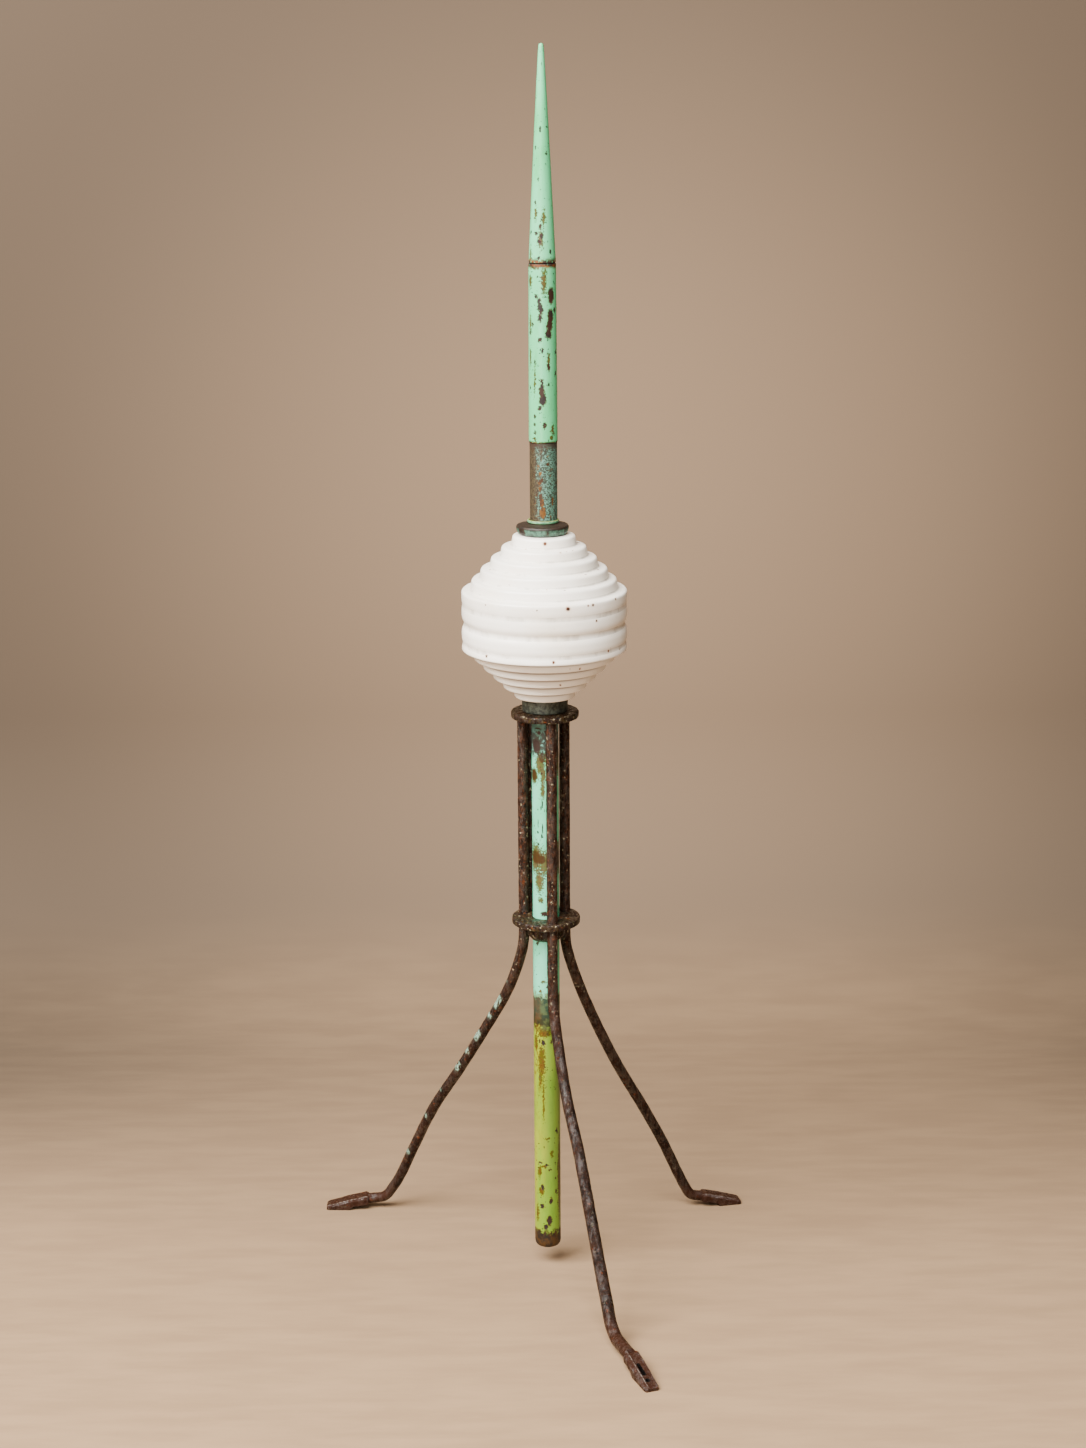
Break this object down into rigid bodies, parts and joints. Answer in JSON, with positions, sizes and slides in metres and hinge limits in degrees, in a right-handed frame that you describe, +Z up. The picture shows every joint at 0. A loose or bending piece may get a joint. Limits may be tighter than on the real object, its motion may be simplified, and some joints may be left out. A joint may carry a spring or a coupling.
{
  "type": "lightning rod",
  "caption": "Painted spear and mast passing through a ribbed white glazed ball, held upright by a rusted iron stand with splayed, bent bar legs and flattened feet.",
  "frame": {"origin": "centre of the footprint's bounding box, on the ground the feet stand on; the mast's axis is at x 0.0105, y 0.0459", "axes": "+Z up along the mast, -Y towards the viewer of the picture, +X to the viewer's right"},
  "size_m": [0.3228, 0.3058, 0.8766],
  "materials": {
    "mint_paint": "old mint green paint, chipped to rust",
    "stained_mint_paint": "mint and yellow-green paint with rust stains, bare patinated metal at the neck",
    "patinated_metal": "dark brown with turquoise patina",
    "white_glaze": "white glaze with brown specks",
    "dark_iron": "dark grey-green, dull",
    "rusted_iron": "dark brown rust with worn bright streaks"
  },
  "bodies": {
    "root": {"spear_point": "mint_paint", "upper_tube": "mint_paint", "mast_rod": "stained_mint_paint", "neck_ring": "mint_paint", "top_cap": "patinated_metal", "ribbed_ball": "white_glaze", "bottom_collar": "dark_iron", "upper_plate": "rusted_iron", "lower_plate": "rusted_iron", "left_leg": "rusted_iron", "right_leg": "rusted_iron", "front_leg": "rusted_iron", "rear_upright": "rusted_iron"}
  },
  "joints": []
}
